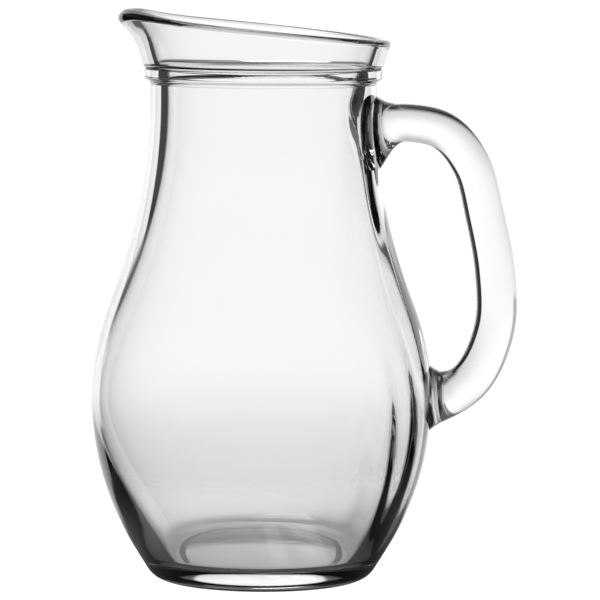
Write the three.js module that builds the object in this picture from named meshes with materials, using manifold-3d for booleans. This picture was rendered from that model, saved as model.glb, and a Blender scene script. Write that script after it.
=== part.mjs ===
// A large glass water jug: one press-and-blown vessel with a slanted, flared rim and a pouring spout,
// and one solid glass handle stuck onto its neck and belly.
// Millimetres, +Z up. The jug stands on z = 0, its spout points to -X and its handle to +X.
// The origin is the bottom centre of the whole jug's box, so the vessel's axis lies a little to -X.
import * as THREE from "three";
import { mergeVertices } from "three/addons/utils/BufferGeometryUtils.js";
import Module from "manifold-3d";

const wasm = await Module();
wasm.setup();

// ---------------------------------------------------------------- driving dimensions
// Outlines of the wall as stations: height, radius, and slope (radius gained per unit of height).
const OUTER_STATIONS = [
  { z: 19.7, r: 57.0, slope: 0.53 }, // above the heel
  { z: 76.1, r: 71.5, slope: 0 }, // widest point of the belly
  { z: 116.7, r: 63.8, slope: -0.37 }, // shoulder
  { z: 202.0, r: 47.4, slope: 0 }, // neck
];
const INNER_STATIONS = [
  { z: 13.5, r: 43.8, slope: 0.75 },
  { z: 76.1, r: 69.3, slope: 0 },
  { z: 116.7, r: 59.3, slope: -0.43 },
  { z: 202.0, r: 40.3, slope: 0 },
];
const WALL_AT_RIM = 6.5;

// Foot: a flat standing ring, a round heel outside it and a shallow push-up inside it.
const RING_OUTER_R = 39.5;
const RING_INNER_R = 35.5;
const HEEL_RADIUS = 10;
const HEEL_TURN = THREE.MathUtils.degToRad(58);
const PUSH_UP_EDGE = { r: 33, z: 1.9 };
const PUSH_UP_HEIGHT = 3.4;
const FLOOR_Z = 10.8;
const FLOOR_R = 39; // the flat part of the floor

// Collar: a band that stands proud of the neck, with a fine groove between it and the flared rim.
const NECK_END_Z = 209.4;
const BAND_BOTTOM_Z = 211;
const BAND_R = 49.8;
const BAND_EASE = 0.5; // how far the band's edges are rounded
const GROOVE_Z = 215.2;
const GROOVE_R = 49.1;
const FLARE_START = { r: 50.2, z: 215.9 };
const THROAT_TOP_Z = 217; // a narrow slanting ledge inside, from the flare in to the neck
const THROAT_BOTTOM_Z = 215.5;

// Rim: a cone cut by a plane that rises towards the spout.
const RIM_MIDDLE_Z = 232.6;
const RIM_RISE = 5.0; // above the middle at the spout, and below it at the handle
const FLARE_SLOPE = Math.tan(THREE.MathUtils.degToRad(18));
const LIP_RADIUS = 2.2;

// Spout: the wall bends outwards over its top stretch, most at the middle of the spout.
const SPOUT_SHOULDER_LIFT = 3.2;
const SPOUT_SHOULDER_SPREAD = THREE.MathUtils.degToRad(31);
const SPOUT_DIP = 3.6;
const SPOUT_SPREAD = THREE.MathUtils.degToRad(21);
const SPOUT_BEND = THREE.MathUtils.degToRad(46);
const SPOUT_BEND_HEIGHT = 14;

// Handle: the bar's centre line from the neck round to the belly, as distance from the vessel's axis
// and height, with the bar's depth in that plane and its width across it.
const HANDLE_CENTRE_LINE = [
  [44.5, 191],
  [60, 192.7],
  [76, 189],
  [87.3, 175.5],
  [93.3, 154],
  [97.6, 131],
  [98, 108],
  [90.2, 87.6],
  [80, 78.4],
  [66, 74.6],
];
const BAR_DEPTH_TOP = 15.8;
const BAR_DEPTH_BOTTOM = 17.6;
const BAR_WIDTH = 19;
const BAR_ROUNDNESS = 2.3; // exponent of the section: 2 is an ellipse, more is squarer
// The pads where the bar meets the wall: how far each side flares, and over what length of the bar.
const UPPER_PAD = {
  outer: { size: 6.5, reach: 10 },
  inner: { size: 10.5, reach: 13 },
  side: { size: 4, reach: 10 },
};
const LOWER_PAD = {
  outer: { size: 3.6, reach: 10 },
  inner: { size: 7.5, reach: 20 },
  side: { size: 5, reach: 12 },
};

const CLEARANCE = 0.3; // between the handle's pads and the wall
const HANDLE_REACH = 107; // from the axis to the outside of the grip
const AXIS_X = (OUTER_STATIONS[1].r - HANDLE_REACH) / 2;

// Fineness of the facets.
const AROUND = 64; // round the vessel
const SPANS_BETWEEN_STATIONS = 4;
const CORNER_STEPS = 4; // along the heel, the push-up and the corner of the floor
const FLARE_STEPS = 4;
const LIP_QUARTER_STEPS = 2;
const BAR_STEPS = 36;
const BAR_SIDES = 20;

// ---------------------------------------------------------------- outlines
// Radius of an outline at height z: a cubic between the two stations around it.
function radiusAt(stations, z) {
  const upper = stations.findIndex((s) => s.z >= z);
  if (upper < 1) return stations.at(upper).r;
  const a = stations[upper - 1];
  const b = stations[upper];
  const height = b.z - a.z;
  const t = (z - a.z) / height;
  const blend = t * t * (3 - 2 * t);
  const fromA = t * (1 - t) * (1 - t) * height * a.slope;
  const fromB = t * t * (t - 1) * height * b.slope;
  return a.r * (1 - blend) + b.r * blend + fromA + fromB;
}

// Points up an outline, from its lowest station to its highest.
function wallOutline(stations) {
  const points = [];
  stations.slice(1).forEach((station, i) => {
    const below = stations[i];
    for (let k = 0; k < SPANS_BETWEEN_STATIONS; k++) {
      const z = below.z + ((station.z - below.z) * k) / SPANS_BETWEEN_STATIONS;
      points.push(new THREE.Vector2(radiusAt(stations, z), z));
    }
  });
  const top = stations.at(-1);
  points.push(new THREE.Vector2(top.r, top.z));
  return points;
}

// Underside and heel, from the axis out and up to the wall.
function footOutline() {
  const points = [];
  for (let k = 0; k <= CORNER_STEPS; k++) {
    const share = k / CORNER_STEPS;
    const z = PUSH_UP_HEIGHT + (PUSH_UP_EDGE.z - PUSH_UP_HEIGHT) * share * share;
    points.push(new THREE.Vector2(PUSH_UP_EDGE.r * share, z));
  }
  points.push(new THREE.Vector2(RING_INNER_R, 0));
  for (let k = 0; k <= CORNER_STEPS; k++) {
    const turn = (HEEL_TURN * k) / CORNER_STEPS;
    const r = RING_OUTER_R + HEEL_RADIUS * Math.sin(turn);
    points.push(new THREE.Vector2(r, HEEL_RADIUS * (1 - Math.cos(turn))));
  }
  return points;
}

// Collar band, groove and outer side of the flared rim, with the rim still level.
function collarOutline() {
  const topZ = RIM_MIDDLE_Z - LIP_RADIUS;
  const points = [
    new THREE.Vector2(OUTER_STATIONS.at(-1).r, NECK_END_Z),
    new THREE.Vector2(BAND_R - BAND_EASE, BAND_BOTTOM_Z),
    new THREE.Vector2(BAND_R, BAND_BOTTOM_Z + BAND_EASE),
    new THREE.Vector2(BAND_R, GROOVE_Z - BAND_EASE),
    new THREE.Vector2(GROOVE_R, GROOVE_Z),
  ];
  for (let k = 0; k <= FLARE_STEPS; k++) {
    const z = FLARE_START.z + ((topZ - FLARE_START.z) * k) / FLARE_STEPS;
    points.push(new THREE.Vector2(flareRadius(z), z));
  }
  return points;
}

function flareRadius(z) {
  return FLARE_START.r + FLARE_SLOPE * (z - FLARE_START.z);
}

// The rounded top edge, from the outer side over to the inner side.
function lipOutline() {
  const z = RIM_MIDDLE_Z - LIP_RADIUS;
  const outerCentre = flareRadius(z) - LIP_RADIUS;
  const innerCentre = flareRadius(z) - WALL_AT_RIM + LIP_RADIUS;
  const points = [];
  for (let k = 1; k <= LIP_QUARTER_STEPS; k++) {
    const turn = ((Math.PI / 2) * k) / LIP_QUARTER_STEPS;
    const rise = LIP_RADIUS * Math.sin(turn);
    points.push(new THREE.Vector2(outerCentre + LIP_RADIUS * Math.cos(turn), z + rise));
  }
  for (let k = 0; k <= LIP_QUARTER_STEPS; k++) {
    const turn = (Math.PI / 2) * (1 + k / LIP_QUARTER_STEPS);
    const rise = LIP_RADIUS * Math.sin(turn);
    points.push(new THREE.Vector2(innerCentre + LIP_RADIUS * Math.cos(turn), z + rise));
  }
  return points;
}

// The inside, from below the lip down to the middle of the floor.
function insideOutline() {
  const points = [];
  const topZ = RIM_MIDDLE_Z - LIP_RADIUS;
  for (let k = 1; k <= FLARE_STEPS; k++) {
    const z = topZ + ((THROAT_TOP_Z - topZ) * k) / FLARE_STEPS;
    points.push(new THREE.Vector2(flareRadius(z) - WALL_AT_RIM, z));
  }
  points.push(new THREE.Vector2(INNER_STATIONS.at(-1).r, THROAT_BOTTOM_Z));
  points.push(...wallOutline(INNER_STATIONS).reverse());
  points.push(...floorCorner().slice(1));
  points.push(new THREE.Vector2(0, FLOOR_Z));
  return points;
}

// The rounded corner between the wall and the flat of the floor, tangent to both.
function floorCorner() {
  const wall = INNER_STATIONS[0];
  const corner = new THREE.QuadraticBezierCurve(
    new THREE.Vector2(wall.r, wall.z),
    new THREE.Vector2(wall.r - wall.slope * (wall.z - FLOOR_Z), FLOOR_Z),
    new THREE.Vector2(FLOOR_R, FLOOR_Z),
  );
  return corner.getPoints(CORNER_STEPS);
}

function outsideOutline() {
  return [...footOutline(), ...wallOutline(OUTER_STATIONS), ...collarOutline()];
}

// ---------------------------------------------------------------- vessel
// How far the rim stands above its middle height, in the direction `fromSpout`, an angle from -X.
function rimLift(fromSpout) {
  const shoulders = Math.exp(-((fromSpout / SPOUT_SHOULDER_SPREAD) ** 2));
  const dip = Math.exp(-((fromSpout / SPOUT_SPREAD) ** 2));
  return RIM_RISE * Math.cos(fromSpout) + SPOUT_SHOULDER_LIFT * shoulders - SPOUT_DIP * dip;
}

// Moves one point of the level rim (radius, height) to its place on the slanted rim and the spout.
function shapeRimPoint(r, z, fromSpout) {
  const share = Math.min(1, (z - FLARE_START.z) / (RIM_MIDDLE_Z - LIP_RADIUS - FLARE_START.z));
  const lift = share * rimLift(fromSpout);
  const raisedZ = z + lift;
  const raisedR = r + FLARE_SLOPE * lift;
  const pivotZ = RIM_MIDDLE_Z + rimLift(fromSpout) - SPOUT_BEND_HEIGHT;
  if (raisedZ <= pivotZ) return [raisedR, raisedZ];

  // Bend about the wall's outer side: the further up, the further the wall has turned outwards.
  const bend = SPOUT_BEND * Math.exp(-((fromSpout / SPOUT_SPREAD) ** 2));
  const along = raisedZ - pivotZ;
  const turn = Math.max((bend * along) / SPOUT_BEND_HEIGHT, 1e-6);
  const depth = flareRadius(raisedZ) - raisedR;
  const arcRadius = along / turn;
  const outwards = arcRadius * (1 - Math.cos(turn)) - depth * Math.cos(turn);
  const upwards = arcRadius * Math.sin(turn) + depth * Math.sin(turn);
  return [flareRadius(raisedZ) + outwards, pivotZ + upwards];
}

function vesselGeometry() {
  const outline = [...outsideOutline(), ...lipOutline(), ...insideOutline()];
  const geometry = new THREE.LatheGeometry(outline, AROUND).rotateX(Math.PI / 2);
  const position = geometry.getAttribute("position");
  for (let i = 0; i < position.count; i++) {
    const z = position.getZ(i);
    if (z <= FLARE_START.z) continue;
    const x = position.getX(i);
    const y = position.getY(i);
    const [r, newZ] = shapeRimPoint(Math.hypot(x, y), z, Math.atan2(y, -x));
    const scale = r / Math.hypot(x, y);
    position.setXYZ(i, x * scale, y * scale, newZ);
  }
  geometry.computeVertexNormals();
  return geometry;
}

// ---------------------------------------------------------------- handle
// Extra size of a pad's side at a distance along the bar from the wall. Inside the wall it stays as it is.
function padFlare({ size, reach }, distance) {
  const share = Math.min(1, Math.max(0, 1 - distance / reach));
  return size * share * share;
}

// How far the centre line runs inside the wall at one of its end points.
function wallInset([x, z]) {
  return radiusAt(OUTER_STATIONS, z) - x;
}

// Half sizes of the bar's section at a share t of its length.
function barSection(t, length) {
  const fromUpper = t * length - wallInset(HANDLE_CENTRE_LINE.at(0));
  const fromLower = (1 - t) * length - wallInset(HANDLE_CENTRE_LINE.at(-1));
  const grow = (side) => padFlare(UPPER_PAD[side], fromUpper) + padFlare(LOWER_PAD[side], fromLower);
  const half = (BAR_DEPTH_TOP + (BAR_DEPTH_BOTTOM - BAR_DEPTH_TOP) * t) / 2;
  return { outer: half + grow("outer"), inner: half + grow("inner"), side: BAR_WIDTH / 2 + grow("side") };
}

function handleGeometry() {
  const points = HANDLE_CENTRE_LINE.map(([x, z]) => new THREE.Vector3(x, 0, z));
  const centreLine = new THREE.CatmullRomCurve3(points, false, "centripetal");
  const length = centreLine.getLength();
  const vertices = [];
  for (let k = 0; k <= BAR_STEPS; k++) {
    const t = k / BAR_STEPS;
    const centre = centreLine.getPointAt(t);
    const along = centreLine.getTangentAt(t);
    const section = barSection(t, length);
    for (let s = 0; s < BAR_SIDES; s++) {
      const angle = (2 * Math.PI * s) / BAR_SIDES;
      const power = 2 / BAR_ROUNDNESS;
      const up = Math.sign(Math.sin(angle)) * Math.abs(Math.sin(angle)) ** power;
      const across = Math.sign(Math.cos(angle)) * Math.abs(Math.cos(angle)) ** power;
      const depth = up * (up > 0 ? section.outer : section.inner);
      vertices.push(centre.x - along.z * depth, across * section.side, centre.z + along.x * depth);
    }
  }
  const first = centreLine.getPointAt(0);
  const last = centreLine.getPointAt(1);
  vertices.push(first.x, 0, first.z, last.x, 0, last.z);
  return new THREE.BufferGeometry()
    .setAttribute("position", new THREE.Float32BufferAttribute(vertices, 3))
    .setIndex(barFaces());
}

// Triangles of the bar: its side, ring by ring, and a fan on each end.
function barFaces() {
  const faces = [];
  const firstCentre = (BAR_STEPS + 1) * BAR_SIDES;
  const lastRing = BAR_STEPS * BAR_SIDES;
  for (let s = 0; s < BAR_SIDES; s++) {
    const next = (s + 1) % BAR_SIDES;
    for (let k = 0; k < BAR_STEPS; k++) {
      const ring = k * BAR_SIDES;
      const far = ring + BAR_SIDES;
      faces.push(ring + s, ring + next, far + s);
      faces.push(ring + next, far + next, far + s);
    }
    faces.push(firstCentre, next, s);
    faces.push(firstCentre + 1, lastRing + s, lastRing + next);
  }
  return faces;
}

// The space that the vessel fills with its outside grown by the clearance: what the pads stay clear of.
function vesselEnvelope() {
  const outline = [
    new THREE.Vector2(0, 0),
    ...wallOutline(OUTER_STATIONS).map((p) => new THREE.Vector2(p.x + CLEARANCE, p.y)),
    new THREE.Vector2(OUTER_STATIONS.at(-1).r + CLEARANCE, NECK_END_Z),
    new THREE.Vector2(0, NECK_END_Z),
  ];
  return new THREE.LatheGeometry(outline, AROUND).rotateX(Math.PI / 2);
}

// ---------------------------------------------------------------- solids
function toSolid(geometry) {
  const bare = new THREE.BufferGeometry().setAttribute("position", geometry.getAttribute("position"));
  const merged = mergeVertices(bare.setIndex(geometry.index), 1e-3);
  return new wasm.Manifold(
    new wasm.Mesh({
      numProp: 3,
      vertProperties: merged.getAttribute("position").array,
      triVerts: new Uint32Array(merged.index.array),
    }),
  );
}

function toGeometry(solid) {
  const mesh = solid.getMesh();
  const geometry = new THREE.BufferGeometry()
    .setAttribute("position", new THREE.BufferAttribute(mesh.vertProperties, 3))
    .setIndex(new THREE.BufferAttribute(mesh.triVerts, 1));
  geometry.computeVertexNormals();
  return geometry;
}

// ---------------------------------------------------------------- assembly
function glass(name) {
  return new THREE.MeshStandardMaterial({
    name,
    color: 0xe3e7ea,
    roughness: 0.05,
    metalness: 0,
    transparent: true,
    opacity: 0.35,
  });
}

function part(name, geometry, material) {
  const mesh = new THREE.Mesh(geometry, material);
  mesh.name = name;
  return mesh;
}

const jug = new THREE.Group();
jug.position.x = AXIS_X;
jug.add(part("vessel", vesselGeometry(), glass("vessel_glass")));
const handleSolid = toSolid(handleGeometry()).subtract(toSolid(vesselEnvelope()));
jug.add(part("handle", toGeometry(handleSolid), glass("handle_glass")));

export default jug;
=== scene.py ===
"""A large water jug of clear pressed glass: a blown vessel with a slanted, flared rim and a pouring
spout, and a solid bar of glass stuck on as its handle. The glass is dimensioned in millimetres and
its meshes are made in metres, in the frame of the CAD model. The stage is in metres."""

import math

import bpy
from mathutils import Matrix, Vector


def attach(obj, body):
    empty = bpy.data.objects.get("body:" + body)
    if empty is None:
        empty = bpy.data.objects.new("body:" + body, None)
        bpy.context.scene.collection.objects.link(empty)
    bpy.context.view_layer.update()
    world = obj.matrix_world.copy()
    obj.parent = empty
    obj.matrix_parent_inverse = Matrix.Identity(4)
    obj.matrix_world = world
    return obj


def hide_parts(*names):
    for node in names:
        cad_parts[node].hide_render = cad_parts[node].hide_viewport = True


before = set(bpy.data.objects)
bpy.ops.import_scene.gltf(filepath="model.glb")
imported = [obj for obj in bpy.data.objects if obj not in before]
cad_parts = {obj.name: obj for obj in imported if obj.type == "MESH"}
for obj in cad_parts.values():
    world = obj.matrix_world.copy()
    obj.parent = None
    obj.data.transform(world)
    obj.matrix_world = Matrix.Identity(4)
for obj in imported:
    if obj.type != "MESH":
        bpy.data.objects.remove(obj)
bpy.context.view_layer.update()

MM = 0.001

# ---------------------------------------------------------------- vessel dimensions
# Outlines of the wall as stations: height, radius, and slope (radius gained per unit of height).
HEEL_STATION = (19.7, 57.0, 0.53)
OUTER_STATIONS = [HEEL_STATION, (76.1, 71.5, 0.0), (116.7, 63.8, -0.37), (202.0, 47.4, 0.0)]
INNER_STATIONS = [(13.5, 43.8, 0.75), (76.1, 69.3, 0.0), (116.7, 59.3, -0.43), (202.0, 40.3, 0.0)]
WALL_AT_RIM = 6.5

# Foot: a flat standing ring, a round heel outside it and a shallow push-up inside it.
RING_OUTER_R = 39.5
RING_INNER_R = 35.5
RING_INNER_ROUND = 1.4
PUSH_UP_ROUND = 1.2
HEEL_RADIUS = 10.0
HEEL_TURN = math.radians(58)
PUSH_UP_EDGE_R = 33.0
PUSH_UP_EDGE_Z = 1.9
PUSH_UP_HEIGHT = 3.4
FLOOR_Z = 10.8
FLOOR_R = 39.0  # the flat part of the floor
FLOOR_CROWN = 0.35

# Collar: a band that stands proud of the neck, with a fine groove between it and the flared rim.
NECK_END_Z = 209.4
NECK_R = OUTER_STATIONS[-1][1]
NECK_ROUND = 2.0
BAND_BOTTOM_Z = 211.0
BAND_TOP_Z = 214.85
BAND_R = 49.8
BAND_BOTTOM_ROUND = 0.8
BAND_TOP_ROUND = 0.3
GROOVE_Z = 215.2
GROOVE_R = 49.1
GROOVE_ROUND = 0.1
FLARE_START_R = 50.2
FLARE_START_Z = 215.9
FLARE_START_ROUND = 0.3
THROAT_TOP_Z = 217.0  # a narrow slanting ledge inside, from the flare in to the neck
THROAT_BOTTOM_Z = 215.5
THROAT_ROUND = 2.0

# Rim: a cone cut by a plane that rises towards the spout.
RIM_MIDDLE_Z = 232.4
RIM_RISE = 5.0  # above the middle at the spout, and below it at the handle
FLARE_SLOPE = math.tan(math.radians(18))
LIP_RADIUS = 2.2

# Spout: the wall bends outwards over its top stretch, most at the middle of the spout.
SPOUT_SHOULDER_LIFT = 3.2
SPOUT_SHOULDER_SPREAD = math.radians(31)
SPOUT_DIP = 3.6
SPOUT_SPREAD = math.radians(21)
SPOUT_BEND = math.radians(46)
SPOUT_BEND_HEIGHT = 14.0

# Ripples of the inside: where they fade out, and how far the folds near the handle spread.
RIPPLE_BOTTOM_Z = 14
RIPPLE_BOTTOM_FADE = 26
RIPPLE_TOP_Z = 214
RIPPLE_TOP_FADE = 14
FOLDS_SPREAD = 0.75  # radians round the vessel
PULL_MIDDLE_Z = 65
PULL_HEIGHT = 36

# ---------------------------------------------------------------- handle dimensions
# The bar's centre line from the neck round to the belly, as distance from the vessel's axis and height.
HANDLE_CENTRE_LINE = [
    (44.5, 191.0), (60.0, 192.7), (76.0, 189.0), (87.3, 175.5), (93.3, 154.0),
    (97.6, 131.0), (97.94, 108.0), (90.2, 87.6), (80.0, 78.4), (66.0, 74.6),
]
BAR_DEPTH_TOP = 15.8
BAR_DEPTH_BOTTOM = 17.6
BAR_WIDTH = 19.0
BAR_ROUNDNESS = 2.3  # exponent of the section: 2 is an ellipse, more is squarer
# The pads where the bar meets the wall: (size, reach) of the flare on each side of the bar.
UPPER_PAD = {"outer": (6.5, 10.0), "inner": (8.9, 13.0), "side": (2.7, 10.0)}
LOWER_PAD = {"outer": (2.0, 10.0), "inner": (7.5, 20.0), "side": (3.9, 12.0)}
FUSED_DEPTH = 0.2  # how far the pads' ends lie inside the wall, so that the two glasses read as fused

HANDLE_REACH = 107.0  # from the vessel's axis to the outside of the grip
AXIS_X = (OUTER_STATIONS[1][1] - HANDLE_REACH) / 2  # centres the belly and the grip together

# Fineness of the meshes.
AROUND = 192  # round the vessel
WALL_STEP = 1.6
FLOOR_STEP = 2.4
FLOOR_CORNER_STEPS = 14
ARC_STEP = math.radians(7)
BAR_STEPS = 150
BAR_SIDES = 64
CAP_RINGS = 8
HALVINGS = 40  # when the place where the bar meets the wall is searched


# ---------------------------------------------------------------- outlines
def radius_at(stations, z):
    """Radius of a wall outline at height z: a cubic between the two stations around it."""
    for (z0, r0, slope0), (z1, r1, slope1) in zip(stations, stations[1:]):
        if z <= z1:
            break
    height = z1 - z0
    t = min(1.0, max(0.0, (z - z0) / height))
    blend = t * t * (3 - 2 * t)
    from_below = t * (1 - t) ** 2 * height * slope0
    from_above = t * t * (t - 1) * height * slope1
    return r0 * (1 - blend) + r1 * blend + from_below + from_above


def eased(steps):
    """Shares from 0 to 1 that lie closer together towards both ends."""
    return [0.5 - 0.5 * math.cos(math.pi * k / steps) for k in range(steps + 1)]


def wall_outline(stations, top_z):
    """Points up a wall outline, from its lowest station to top_z."""
    bottom_z = stations[0][0]
    steps = math.ceil((top_z - bottom_z) / WALL_STEP)
    heights = [bottom_z + (top_z - bottom_z) * share for share in eased(steps)]
    return [(radius_at(stations, z), z) for z in heights]


def arc(centre, radius, start, turn):
    """Points on a circle about centre = (r, z), from the angle start through turn."""
    steps = max(2, math.ceil(abs(turn) / ARC_STEP))
    angles = [start + turn * k / steps for k in range(steps + 1)]
    return [(centre[0] + radius * math.cos(a), centre[1] + radius * math.sin(a)) for a in angles]


def straight(start, end):
    """Points from start to end without the end points, closer together towards both."""
    length = math.dist(start, end)
    steps = max(1, math.ceil(length / WALL_STEP) + 1)
    shares = eased(steps)[1:-1]
    return [(start[0] + (end[0] - start[0]) * s, start[1] + (end[1] - start[1]) * s) for s in shares]


def rounded(corners):
    """A chain of corners (r, z, rounding radius) as points, each corner replaced by its arc."""
    points = [corners[0][:2]]
    for before, here, after in zip(corners, corners[1:], corners[2:]):
        arc_points = corner_arc(before[:2], here[:2], after[:2], here[2])
        points += straight(points[-1], arc_points[0]) + arc_points
    end = corners[-1][:2]
    return points + straight(points[-1], end) + [end]


def corner_arc(before, here, after, radius):
    """The arc of that radius that touches both arms of the corner at here."""
    corner = Vector(here)
    to_before = (Vector(before) - corner).normalized()
    to_after = (Vector(after) - corner).normalized()
    half_opening = to_before.angle(to_after) / 2
    reach = radius / math.tan(half_opening)
    middle = (to_before + to_after).normalized()
    centre = corner + middle * (radius / math.sin(half_opening))
    first = corner + to_before * reach - centre
    last = corner + to_after * reach - centre
    start = math.atan2(first.y, first.x)
    turn = math.remainder(math.atan2(last.y, last.x) - start, 2 * math.pi)
    return arc(centre, radius, start, turn)


def push_up_z(r):
    """Height of the underside inside the standing ring."""
    share = r / PUSH_UP_EDGE_R
    return PUSH_UP_HEIGHT + (PUSH_UP_EDGE_Z - PUSH_UP_HEIGHT) * share * share


def foot_outline():
    """Underside, standing ring and heel, from the axis out and up to the wall."""
    steps = math.ceil(PUSH_UP_EDGE_R / FLOOR_STEP)
    radii = [PUSH_UP_EDGE_R * k / steps for k in range(steps)]
    dome = [(r, push_up_z(r)) for r in radii]
    ring = rounded([
        (*dome[-1], 0),
        (PUSH_UP_EDGE_R, PUSH_UP_EDGE_Z, PUSH_UP_ROUND),
        (RING_INNER_R, 0, RING_INNER_ROUND),
        (RING_OUTER_R, 0, 0),
    ])
    heel = arc((RING_OUTER_R, HEEL_RADIUS), HEEL_RADIUS, -math.pi / 2, HEEL_TURN)
    heel_top = (heel[-1][1], heel[-1][0], 1 / math.tan(HEEL_TURN))
    rise = wall_outline([heel_top, HEEL_STATION], HEEL_STATION[0])
    return dome[:-1] + ring[:-1] + heel + rise[1:-1]


def flare_radius(z):
    return FLARE_START_R + FLARE_SLOPE * (z - FLARE_START_Z)


def collar_outline():
    """From the top of the neck over the band and the groove, up the outside of the still level rim."""
    top_z = RIM_MIDDLE_Z - LIP_RADIUS
    return rounded([
        (NECK_R, OUTER_STATIONS[-1][0], 0),
        (NECK_R, NECK_END_Z, NECK_ROUND),
        (BAND_R, BAND_BOTTOM_Z, BAND_BOTTOM_ROUND),
        (BAND_R, BAND_TOP_Z, BAND_TOP_ROUND),
        (GROOVE_R, GROOVE_Z, GROOVE_ROUND),
        (FLARE_START_R, FLARE_START_Z, FLARE_START_ROUND),
        (flare_radius(top_z), top_z, 0),
    ])


def lip_outline():
    """The rounded top edge, from the outer side over to the inner side."""
    z = RIM_MIDDLE_Z - LIP_RADIUS
    outer = arc((flare_radius(z) - LIP_RADIUS, z), LIP_RADIUS, 0, math.pi / 2)
    inner = arc((flare_radius(z) - WALL_AT_RIM + LIP_RADIUS, z), LIP_RADIUS, math.pi / 2, math.pi / 2)
    return outer[1:] + inner


def inside_outline():
    """The inside, from below the lip down to the middle of the floor."""
    top_z = RIM_MIDDLE_Z - LIP_RADIUS
    neck_z, neck_r, _ = INNER_STATIONS[-1]
    throat = rounded([
        (flare_radius(top_z) - WALL_AT_RIM, top_z, 0),
        (flare_radius(THROAT_TOP_Z) - WALL_AT_RIM, THROAT_TOP_Z, THROAT_ROUND),
        (neck_r, THROAT_BOTTOM_Z, THROAT_ROUND),
        (neck_r, neck_z, 0),
    ])
    wall = wall_outline(INNER_STATIONS, neck_z)
    return throat[1:] + wall[-2::-1] + floor_outline()[1:]


def floor_outline():
    """From the foot of the inner wall round the corner, over the slightly crowned floor to the axis."""
    wall_z, wall_r, slope = INNER_STATIONS[0]
    control_r = wall_r - slope * (wall_z - FLOOR_Z)
    points = []
    for k in range(FLOOR_CORNER_STEPS + 1):
        t = k / FLOOR_CORNER_STEPS
        r = (1 - t) ** 2 * wall_r + 2 * t * (1 - t) * control_r + t * t * FLOOR_R
        z = (1 - t) ** 2 * wall_z + 2 * t * (1 - t) * FLOOR_Z + t * t * FLOOR_Z
        points.append((r, z))
    steps = math.ceil(FLOOR_R / FLOOR_STEP)
    for k in range(1, steps + 1):
        share = 1 - k / steps
        points.append((FLOOR_R * share, FLOOR_Z + FLOOR_CROWN * (1 - share * share) ** 2))
    return points


# ---------------------------------------------------------------- vessel
def rim_lift(from_spout):
    """How far the rim stands above its middle height, at an angle from -X."""
    shoulders = math.exp(-((from_spout / SPOUT_SHOULDER_SPREAD) ** 2))
    dip = math.exp(-((from_spout / SPOUT_SPREAD) ** 2))
    return RIM_RISE * math.cos(from_spout) + SPOUT_SHOULDER_LIFT * shoulders - SPOUT_DIP * dip


def shape_rim_point(r, z, from_spout):
    """Moves a point of the level rim (radius, height) to its place on the slanted rim and the spout."""
    share = min(1.0, (z - FLARE_START_Z) / (RIM_MIDDLE_Z - LIP_RADIUS - FLARE_START_Z))
    lift = share * rim_lift(from_spout)
    raised_z = z + lift
    raised_r = r + FLARE_SLOPE * lift
    pivot_z = RIM_MIDDLE_Z + rim_lift(from_spout) - SPOUT_BEND_HEIGHT
    if raised_z <= pivot_z:
        return raised_r, raised_z
    bend = SPOUT_BEND * math.exp(-((from_spout / SPOUT_SPREAD) ** 2))
    along = raised_z - pivot_z
    turn = max(bend * along / SPOUT_BEND_HEIGHT, 1e-6)
    depth = flare_radius(raised_z) - raised_r
    arc_radius = along / turn
    outwards = arc_radius * (1 - math.cos(turn)) - depth * math.cos(turn)
    upwards = arc_radius * math.sin(turn) + depth * math.sin(turn)
    return flare_radius(raised_z) + outwards, pivot_z + upwards


def inner_ripple(angle, z):
    """How far the blown inside stands off its ideal outline: slow swells all round, and steeper folds
    near the handle, where the wall was softened again and pulled when the bar was stuck on."""
    above_floor = min(1.0, max(0.0, (z - RIPPLE_BOTTOM_Z) / RIPPLE_BOTTOM_FADE))
    below_throat = min(1.0, max(0.0, (RIPPLE_TOP_Z - z) / RIPPLE_TOP_FADE))
    swell = 0.07 * math.sin(2 * angle + z / 37) + 0.05 * math.sin(5 * angle - z / 23 + 1.3)
    off_handle = math.remainder(angle, 2 * math.pi)
    near_handle = math.exp(-((off_handle / FOLDS_SPREAD) ** 2))
    near_lower_pad = math.exp(-((z - PULL_MIDDLE_Z) / PULL_HEIGHT) ** 2)
    folds = 0.45 * math.sin(9 * off_handle + z / 26) + 0.2 * math.sin(17 * off_handle - z / 17 + 0.6)
    pull = 0.8 * near_lower_pad * math.sin(27 * off_handle + z / 24)
    return above_floor * below_throat * (swell + near_handle * (folds + pull))


def vessel_mesh():
    """The whole vessel as one closed lathe with a quad grid and a fan at each pole."""
    wall = wall_outline(OUTER_STATIONS, OUTER_STATIONS[-1][0])
    outside = foot_outline() + wall + collar_outline()[1:]
    rim = lip_outline()
    inside = inside_outline()
    first_inside = len(outside) + len(rim)
    outline = outside + rim + inside
    vertices = []
    rows = []
    for i, (r, z) in enumerate(outline):
        if r < 1e-9:
            rows.append([len(vertices)] * AROUND)
            vertices.append((AXIS_X * MM, 0, z * MM))
            continue
        row = []
        for k in range(AROUND):
            angle = 2 * math.pi * k / AROUND
            ring_r, ring_z = r, z
            if i >= first_inside and r > FLOOR_R:
                ring_r += inner_ripple(angle, z)
            if z > FLARE_START_Z:
                from_spout = math.remainder(angle - math.pi, 2 * math.pi)
                ring_r, ring_z = shape_rim_point(ring_r, z, from_spout)
            row.append(len(vertices))
            x = AXIS_X + ring_r * math.cos(angle)
            vertices.append((x * MM, ring_r * math.sin(angle) * MM, ring_z * MM))
        rows.append(row)
    return vertices, skin_faces(rows)


def skin_faces(rows):
    """Quads between neighbouring closed rows of vertices, and triangles where a row is one point."""
    faces = []
    for lower, upper in zip(rows, rows[1:]):
        count = len(lower)
        for k in range(count):
            after = (k + 1) % count
            face = [lower[k], lower[after], upper[after], upper[k]]
            faces.append(list(dict.fromkeys(face)))
    return faces


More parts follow.
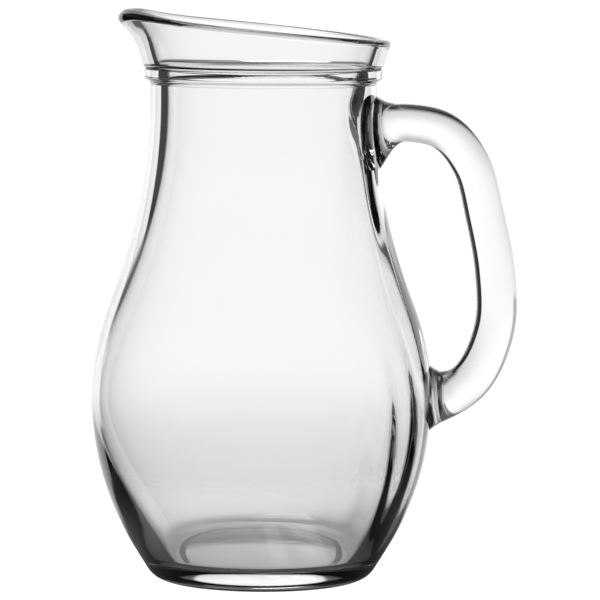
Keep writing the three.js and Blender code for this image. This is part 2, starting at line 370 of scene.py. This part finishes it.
# ---------------------------------------------------------------- handle
class CentreLine:
    """The bar's centre line: a centripetal Catmull-Rom curve, read by arc length."""

    SAMPLES = 900

    def __init__(self, points):
        chain = [Vector(p) for p in points]
        self.points = [2 * chain[0] - chain[1], *chain, 2 * chain[-1] - chain[-2]]
        self.table = [self.curve_point(k / self.SAMPLES) for k in range(self.SAMPLES + 1)]
        self.lengths = [0.0]
        for before, after in zip(self.table, self.table[1:]):
            self.lengths.append(self.lengths[-1] + (after - before).length)
        self.length = self.lengths[-1]

    def curve_point(self, share):
        spans = len(self.points) - 3
        span = min(int(share * spans), spans - 1)
        t = share * spans - span
        p0, p1, p2, p3 = self.points[span:span + 4]
        d0, d1, d2 = ((b - a).length ** 0.5 for a, b in ((p0, p1), (p1, p2), (p2, p3)))
        m1 = ((p1 - p0) / d0 - (p2 - p0) / (d0 + d1) + (p2 - p1) / d1) * d1
        m2 = ((p2 - p1) / d1 - (p3 - p1) / (d1 + d2) + (p3 - p2) / d2) * d1
        cubic = 2 * p1 - 2 * p2 + m1 + m2
        square = -3 * p1 + 3 * p2 - 2 * m1 - m2
        return cubic * t ** 3 + square * t ** 2 + m1 * t + p1

    def at(self, distance):
        """(point, unit tangent) at that distance along the line."""
        low, high = 0, self.SAMPLES
        while high - low > 1:
            middle = (low + high) // 2
            if self.lengths[middle] <= distance:
                low = middle
            else:
                high = middle
        run = self.lengths[high] - self.lengths[low]
        share = (low + (distance - self.lengths[low]) / run) / self.SAMPLES
        share = min(1.0, max(0.0, share))
        step = 1e-4
        ahead = self.curve_point(min(1.0, share + step))
        behind = self.curve_point(max(0.0, share - step))
        return self.curve_point(share), (ahead - behind).normalized()


def pad_flare(size, reach, distance):
    """Extra size of a pad's side at a distance along the bar from the wall."""
    share = max(0.0, 1 - distance / reach)
    return size * share * share


def wall_inset(point):
    """How far the centre line runs inside the wall at one of its end points."""
    return radius_at(OUTER_STATIONS, point[1]) - point[0]


def both_pads(side, from_upper, from_lower):
    """Extra size that the two pads give to that side of the bar."""
    return pad_flare(*UPPER_PAD[side], from_upper) + pad_flare(*LOWER_PAD[side], from_lower)


def bar_point(line, distance, angle):
    """The bar's skin at a distance along it and an angle round it, with x from the vessel's axis."""
    centre, along = line.at(distance)
    from_upper = distance - wall_inset(HANDLE_CENTRE_LINE[0])
    from_lower = line.length - distance - wall_inset(HANDLE_CENTRE_LINE[-1])
    depth_here = BAR_DEPTH_TOP + (BAR_DEPTH_BOTTOM - BAR_DEPTH_TOP) * distance / line.length
    side = "outer" if math.sin(angle) > 0 else "inner"
    half_depth = depth_here / 2 + both_pads(side, from_upper, from_lower)
    half_width = BAR_WIDTH / 2 + both_pads("side", from_upper, from_lower)
    power = 2 / BAR_ROUNDNESS
    depth = math.copysign(abs(math.sin(angle)) ** power, math.sin(angle)) * half_depth
    across = math.copysign(abs(math.cos(angle)) ** power, math.cos(angle)) * half_width
    return Vector((centre.x - along.y * depth, across, centre.y + along.x * depth))


def depth_in_wall(point):
    """How far a point lies inside the vessel's outer surface, level with it. Negative is outside."""
    return radius_at(OUTER_STATIONS, point.z) - math.hypot(point.x, point.y)


def wall_crossing(line, angle, inside, outside):
    """Distance along the bar where its skin at that angle is FUSED_DEPTH inside the wall."""
    for _ in range(HALVINGS):
        middle = (inside + outside) / 2
        if depth_in_wall(bar_point(line, middle, angle)) > FUSED_DEPTH:
            inside = middle
        else:
            outside = middle
    return outside


def onto_wall(point):
    """The point moved along x onto the surface FUSED_DEPTH inside the vessel's outside."""
    reach = radius_at(OUTER_STATIONS, point.z) - FUSED_DEPTH
    return Vector((math.sqrt(max(reach * reach - point.y * point.y, 0)), point.y, point.z))


def cap_rows(rim):
    """Rows of points from an end ring to its middle, all on the wall."""
    middle = sum(rim, Vector((0, 0, 0))) / len(rim)
    rows = []
    for k in range(1, CAP_RINGS + 1):
        share = k / CAP_RINGS
        rows.append([onto_wall(p.lerp(middle, share)) for p in rim])
    return rows


def handle_mesh():
    """The bar as a closed loft whose two ends follow the vessel's wall."""
    line = CentreLine(HANDLE_CENTRE_LINE)
    half = line.length / 2
    angles = [2 * math.pi * k / BAR_SIDES for k in range(BAR_SIDES)]
    spans = [
        (wall_crossing(line, a, 0, half), wall_crossing(line, a, line.length, half)) for a in angles
    ]
    rings = []
    for share in eased(BAR_STEPS):
        rings.append([bar_point(line, s + (e - s) * share, a) for a, (s, e) in zip(angles, spans)])
    rings = cap_rows(rings[0])[::-1] + rings + cap_rows(rings[-1])
    vertices = []
    rows = []
    for ring in rings:
        if (ring[0] - ring[BAR_SIDES // 2]).length < 1e-6:
            ring = ring[:1]
        row = [len(vertices) + k for k in range(len(ring))]
        rows.append(row if len(row) > 1 else row * BAR_SIDES)
        vertices += [((AXIS_X + p.x) * MM, p.y * MM, p.z * MM) for p in ring]
    return vertices, skin_faces(rows)


# ---------------------------------------------------------------- materials
GLASS_IOR = 1.52
ABSORPTION_COLOUR = (0.62, 0.72, 0.78, 1)
ABSORPTION_DENSITY = 2.0  # per metre
TINT_DEEP = (0.99, 0.983, 0.996, 1)
TINT_CLEAR = (0.999, 0.996, 1.0, 1)
SCUFF_HEIGHT = 0.0012  # above the table, where the last scuffs end
SCUFF_ROUGHNESS = 0.3


def add_node(tree, kind, **settings):
    node = tree.nodes.new(kind)
    for name, value in settings.items():
        setattr(node, name, value)
    return node


def noise(tree, scale, detail, coordinates):
    """A noise texture in object space, its scale in waves per metre."""
    node = add_node(tree, "ShaderNodeTexNoise")
    node.inputs["Scale"].default_value = scale
    node.inputs["Detail"].default_value = detail
    tree.links.new(coordinates, node.inputs["Vector"])
    return node.outputs["Fac"]


def map_range(tree, value, low, high, to_low, to_high):
    node = add_node(tree, "ShaderNodeMapRange", interpolation_type="SMOOTHSTEP")
    tree.links.new(value, node.inputs["Value"])
    for name, number in zip(("From Min", "From Max", "To Min", "To Max"), (low, high, to_low, to_high)):
        node.inputs[name].default_value = number
    return node.outputs["Result"]


def math_node(tree, operation, *values):
    node = add_node(tree, "ShaderNodeMath", operation=operation)
    for socket, value in zip(node.inputs, values):
        if isinstance(value, (int, float)):
            socket.default_value = value
        else:
            tree.links.new(value, socket)
    return node.outputs[0]


def glass_material(name, seed, wave_height):
    """Clear soda-lime glass: fire-polished waves, faint colour that deepens with thickness, and fine
    scuffs on the standing ring."""
    material = bpy.data.materials.new(name)
    material.use_nodes = True
    tree = material.node_tree
    tree.nodes.clear()
    shader = add_node(tree, "ShaderNodeBsdfPrincipled")
    shader.inputs["Transmission Weight"].default_value = 1.0
    shader.inputs["IOR"].default_value = GLASS_IOR
    volume = add_node(tree, "ShaderNodeVolumeAbsorption")
    volume.inputs["Color"].default_value = ABSORPTION_COLOUR
    volume.inputs["Density"].default_value = ABSORPTION_DENSITY
    output = add_node(tree, "ShaderNodeOutputMaterial")
    tree.links.new(shader.outputs["BSDF"], output.inputs["Surface"])
    tree.links.new(volume.outputs["Volume"], output.inputs["Volume"])

    coordinates = add_node(tree, "ShaderNodeTexCoord").outputs["Object"]
    shifted = add_node(tree, "ShaderNodeMapping")
    shifted.inputs["Location"].default_value = (seed, seed * 1.7, seed * 0.6)
    tree.links.new(coordinates, shifted.inputs["Vector"])
    place = shifted.outputs["Vector"]

    tint = add_node(tree, "ShaderNodeMixRGB")
    tint.inputs["Color1"].default_value = TINT_DEEP
    tint.inputs["Color2"].default_value = TINT_CLEAR
    tree.links.new(noise(tree, 28, 2, place), tint.inputs["Fac"])
    tree.links.new(tint.outputs["Color"], shader.inputs["Base Color"])

    height = add_node(tree, "ShaderNodeSeparateXYZ")
    tree.links.new(coordinates, height.inputs["Vector"])
    scuff_zone = map_range(tree, height.outputs["Z"], 0.0, SCUFF_HEIGHT, 1.0, 0.0)
    scuffs = map_range(tree, noise(tree, 2600, 3, place), 0.52, 0.62, 0.0, 1.0)
    polish = map_range(tree, noise(tree, 60, 3, place), 0.35, 0.75, 0.0, 0.012)
    scuffed_there = math_node(tree, "MULTIPLY", scuffs, scuff_zone)
    scuffed = math_node(tree, "MULTIPLY", scuffed_there, SCUFF_ROUGHNESS)
    tree.links.new(math_node(tree, "ADD", polish, scuffed), shader.inputs["Roughness"])

    waves = add_node(tree, "ShaderNodeBump")
    waves.inputs["Strength"].default_value = 1.0
    waves.inputs["Distance"].default_value = wave_height
    tree.links.new(noise(tree, 45, 1, place), waves.inputs["Height"])
    tree.links.new(waves.outputs["Normal"], shader.inputs["Normal"])
    return material


# ---------------------------------------------------------------- pieces
SHARP_FOLD = math.radians(60)  # only the rims of the pads' hidden ends turn by more


def add_piece(name, mesh_data, material, node):
    """Makes a piece from (vertices, faces), in the row frame, and ties it to its CAD node."""
    vertices, faces = mesh_data
    mesh = bpy.data.meshes.new(name)
    mesh.from_pydata(vertices, [], faces)
    mesh.validate()
    mesh.shade_smooth()
    mesh.set_sharp_from_angle(angle=SHARP_FOLD)
    mesh.materials.append(material)
    piece = bpy.data.objects.new(name, mesh)
    bpy.context.scene.collection.objects.link(piece)
    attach(piece, "root")
    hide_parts(node)


vessel_glass = glass_material("vessel_glass", seed=0.0, wave_height=0.00002)
handle_glass = glass_material("handle_glass", seed=0.31, wave_height=0.00004)
add_piece("glass_vessel", vessel_mesh(), vessel_glass, "vessel")
add_piece("glass_handle", handle_mesh(), handle_glass, "handle")


# ---------------------------------------------------------------- stage
TABLE_RADIUS = 0.16
TABLE_SIDES = 96
TABLE_DROP = 0.0002  # below the standing ring, so that the two faces don't coincide
TABLE_PAINTED_SHADOW = (0.03, 0.6)  # distance from the middle, and the paleness of the painted shadow round the jug from there inwards
TABLE_FAR = (0.09, 0.88)  # the same from there outwards, where the painted shadow has faded into the table's own paleness
TABLE_FADE = (0.1, 0.158)  # where the table turns see-through
TABLE_GLOW = 0.2  # makes up for the light that the jug's own shadow takes from the table
PLAIN_WHITE = 1.05  # what the camera sees round the jug

# Directions in degrees: azimuth from straight behind the jug, to the right, and elevation.
LEFT_GAP = (-75, -36)
RIGHT_GAP = (36, 78)
GAP_EDGE = 2
WIDE_SCREEN = (-36, 36)
WIDE_SCREEN_ELEVATIONS = (-15, 9)
NARROW_SCREEN = (-24, 24)


def mixed(tree, share, first, second):
    """first where share is 0 and second where it is 1."""
    node = add_node(tree, "ShaderNodeMix", data_type="FLOAT")
    for socket, value in zip(("Factor", "A", "B"), (share, first, second)):
        if isinstance(value, (int, float)):
            node.inputs[socket].default_value = value
        else:
            tree.links.new(value, node.inputs[socket])
    return node.outputs["Result"]


def camera_switch(tree, for_glass, for_camera):
    """for_camera where the camera looks directly, and for_glass for light that reaches the glass."""
    direct = add_node(tree, "ShaderNodeLightPath").outputs["Is Camera Ray"]
    return mixed(tree, direct, for_glass, for_camera)


def by_route(tree, hollow, solid, reflected):
    """One of three values, by what the light has met: both walls of the hollow vessel, only solid
    glass such as the handle, the rim or the heel, or a reflection in the glass."""
    path = add_node(tree, "ShaderNodeLightPath")
    both_walls = math_node(tree, "GREATER_THAN", path.outputs["Transmission Depth"], 3.5)
    reflections = math_node(tree, "MINIMUM", path.outputs["Glossy Depth"], 1.0)
    return mixed(tree, reflections, mixed(tree, both_walls, solid, hollow), reflected)


def table_material():
    """Pale and matt, with a painted shadow that makes it a little darker round the jug, and see-through
    towards the edge. The camera sees plain white, and the glass gets less light from it through solid
    glass and by reflection, by painted shade in its colour; a faint glow for the glass only stands in
    for light that the jug's own shadow takes from it."""
    material = bpy.data.materials.new("pale_table")
    material.use_nodes = True
    tree = material.node_tree
    shader = tree.nodes["Principled BSDF"]
    place = add_node(tree, "ShaderNodeTexCoord").outputs["Object"]
    length = add_node(tree, "ShaderNodeVectorMath", operation="LENGTH")
    tree.links.new(place, length.inputs[0])
    distance = length.outputs["Value"]
    # Painted shadow round the jug: the table's colour is darker near the middle and fades to its own
    # paleness further out.
    shade = map_range(tree, distance, TABLE_PAINTED_SHADOW[0], TABLE_FAR[0], TABLE_PAINTED_SHADOW[1], TABLE_FAR[1])
    # Painted shade: the table's colour is darker where the glass sees it through solid glass or by a
    # reflection in the glass.
    light = math_node(tree, "MULTIPLY", shade, by_route(tree, 1.0, 0.25, 0.3))
    tree.links.new(light, shader.inputs["Base Color"])
    edge = map_range(tree, distance, *TABLE_FADE, 1.0, 0.0)
    tree.links.new(edge, shader.inputs["Alpha"])
    shader.inputs["Roughness"].default_value = 0.9
    shader.inputs["Specular IOR Level"].default_value = 0.1
    shader.inputs["Emission Color"].default_value = (1, 1, 1, 1)
    # Painted light: the table glows faintly for the glass, not for the camera, in place of light that
    # the jug's own shadow takes from it.
    glow = math_node(tree, "MULTIPLY", light, TABLE_GLOW)
    tree.links.new(camera_switch(tree, glow, PLAIN_WHITE), shader.inputs["Emission Strength"])
    return material


def stage_floor():
    """A small round table top under the jug."""
    angles = [2 * math.pi * k / TABLE_SIDES for k in range(TABLE_SIDES)]
    rim = [(TABLE_RADIUS * math.cos(a), TABLE_RADIUS * math.sin(a), -TABLE_DROP) for a in angles]
    mesh = bpy.data.meshes.new("stage_floor")
    mesh.from_pydata(rim, [], [list(range(TABLE_SIDES))])
    mesh.materials.append(table_material())
    floor = bpy.data.objects.new("stage_floor", mesh)
    bpy.context.scene.collection.objects.link(floor)


def band(tree, value, start, end, soft):
    """1 between start and end, fading to 0 over soft degrees on both sides."""
    rise = map_range(tree, value, start - soft, start, 0.0, 1.0)
    fall = map_range(tree, value, end, end + soft, 1.0, 0.0)
    return math_node(tree, "MULTIPLY", rise, fall)


def studio_level(tree, elevation):
    """Brightness by elevation: fullest just above the horizon, less overhead and towards the table."""
    screen = map_range(tree, elevation, -20, 0, 0.8, 1.12)
    below = map_range(tree, elevation, -50, -16, 0.25, 1.0)
    above = map_range(tree, elevation, 10, 35, 1.0, 0.55)
    return math_node(tree, "MULTIPLY", math_node(tree, "MULTIPLY", screen, above), below)


def without(tree, dark_share, depth):
    """1 less that depth of darkness, in proportion to dark_share."""
    return math_node(tree, "MULTIPLY_ADD", dark_share, -depth, 1.0)


def seen_mirrored(tree, azimuth, elevation):
    """What the glass mirrors: a dark room with a screen behind the jug, wide near the horizon and
    narrow above and below, and fainter after a second reflection."""
    wide = mixed(tree, band(tree, azimuth, *WIDE_SCREEN, 2), 0.03, 1.0)
    narrow = mixed(tree, band(tree, azimuth, *NARROW_SCREEN, 4), 0.12, 0.9)
    room = mixed(tree, band(tree, elevation, *WIDE_SCREEN_ELEVATIONS, 3), narrow, wide)
    count = add_node(tree, "ShaderNodeLightPath").outputs["Glossy Depth"]
    return math_node(tree, "MULTIPLY", room, map_range(tree, count, 1, 2, 1.0, 0.3))


def studio_light(tree, azimuth, elevation):
    """The light that reaches the glass. Through both walls it is a bright surround with a dark gap
    on each side above the table. Through solid glass the left gap is faint, the right gap is there
    at every height, and it is dark steeply below. Straight below is bright by every route."""
    left_gap = band(tree, azimuth, *LEFT_GAP, GAP_EDGE)
    right_gap = band(tree, azimuth, *RIGHT_GAP, GAP_EDGE)
    above_table = map_range(tree, elevation, -8, -6, 0.0, 1.0)
    left_above = math_node(tree, "MULTIPLY", left_gap, above_table)
    right_above = math_node(tree, "MULTIPLY", right_gap, above_table)
    hollow = without(tree, math_node(tree, "ADD", left_above, right_above), 0.95)

    sides = math_node(tree, "MULTIPLY", without(tree, left_above, 0.5), without(tree, right_gap, 0.97))
    steep = map_range(tree, elevation, -38, -24, 0.05, 1.0)
    solid = math_node(tree, "MULTIPLY", sides, steep)

    share = by_route(tree, hollow, solid, seen_mirrored(tree, azimuth, elevation))
    sideways = math_node(tree, "MULTIPLY", studio_level(tree, elevation), share)
    return mixed(tree, map_range(tree, elevation, -60, -52, 1.0, 0.0), sideways, 0.85)


def studio_world():
    """A white studio: plain white where the camera looks at it directly, and studio_light for what
    the glass lets through or mirrors."""
    world = bpy.data.worlds.new("studio")
    bpy.context.scene.world = world
    world.use_nodes = True
    tree = world.node_tree
    tree.nodes.clear()
    direction = add_node(tree, "ShaderNodeTexCoord").outputs["Generated"]
    parts = add_node(tree, "ShaderNodeSeparateXYZ")
    tree.links.new(direction, parts.inputs["Vector"])
    x, y, z = (parts.outputs[k] for k in ("X", "Y", "Z"))
    azimuth = math_node(tree, "MULTIPLY", math_node(tree, "ARCTAN2", x, y), 180 / math.pi)
    elevation = math_node(tree, "MULTIPLY", math_node(tree, "ARCSINE", z), 180 / math.pi)
    light = studio_light(tree, azimuth, elevation)

    background = add_node(tree, "ShaderNodeBackground")
    background.inputs["Color"].default_value = (1, 1, 1, 1)
    tree.links.new(camera_switch(tree, light, PLAIN_WHITE), background.inputs["Strength"])
    output = add_node(tree, "ShaderNodeOutputWorld")
    tree.links.new(background.outputs["Background"], output.inputs["Surface"])


def softbox(name, place, aim, size, power):
    """A soft area light that the camera doesn't see."""
    light = bpy.data.lights.new(name, "AREA")
    light.shape = "RECTANGLE"
    light.size, light.size_y = size
    light.energy = power
    lamp = bpy.data.objects.new(name, light)
    bpy.context.scene.collection.objects.link(lamp)
    lamp.location = place
    lamp.rotation_mode = "QUATERNION"
    lamp.rotation_quaternion = (Vector(aim) - Vector(place)).to_track_quat("-Z", "Y")
    lamp.visible_camera = False


CAMERA_PLACE = Vector((-0.0019, -1.872, 0.288))
CAMERA_AIM = Vector((-0.0019, 0.0, 0.1178))
CAMERA_LENS = 268.2
CAMERA_SENSOR = 36
CAMERA_ROLL = math.radians(0.35)


def front_camera():
    """The camera at the front, a little above the jug and looking down at its middle."""
    camera = bpy.data.objects.new("camera", bpy.data.cameras.new("camera"))
    bpy.context.scene.collection.objects.link(camera)
    camera.data.lens = CAMERA_LENS
    camera.data.sensor_width = CAMERA_SENSOR
    camera.location = CAMERA_PLACE
    camera.rotation_mode = "QUATERNION"
    turn = (CAMERA_AIM - CAMERA_PLACE).to_track_quat("-Z", "Y")
    rolled_right = Vector((math.cos(CAMERA_ROLL), math.sin(CAMERA_ROLL), 0))
    roll = Vector((1, 0, 0)).rotation_difference(rolled_right)
    camera.rotation_quaternion = turn @ roll
    bpy.context.scene.camera = camera


stage_floor()
studio_world()
softbox("overhead_softbox", place=(-0.3, 0.1, 1.2), aim=(0, 0, 0.1), size=(0.9, 0.6), power=6)
front_camera()
bpy.context.scene.view_settings.view_transform = "Standard"
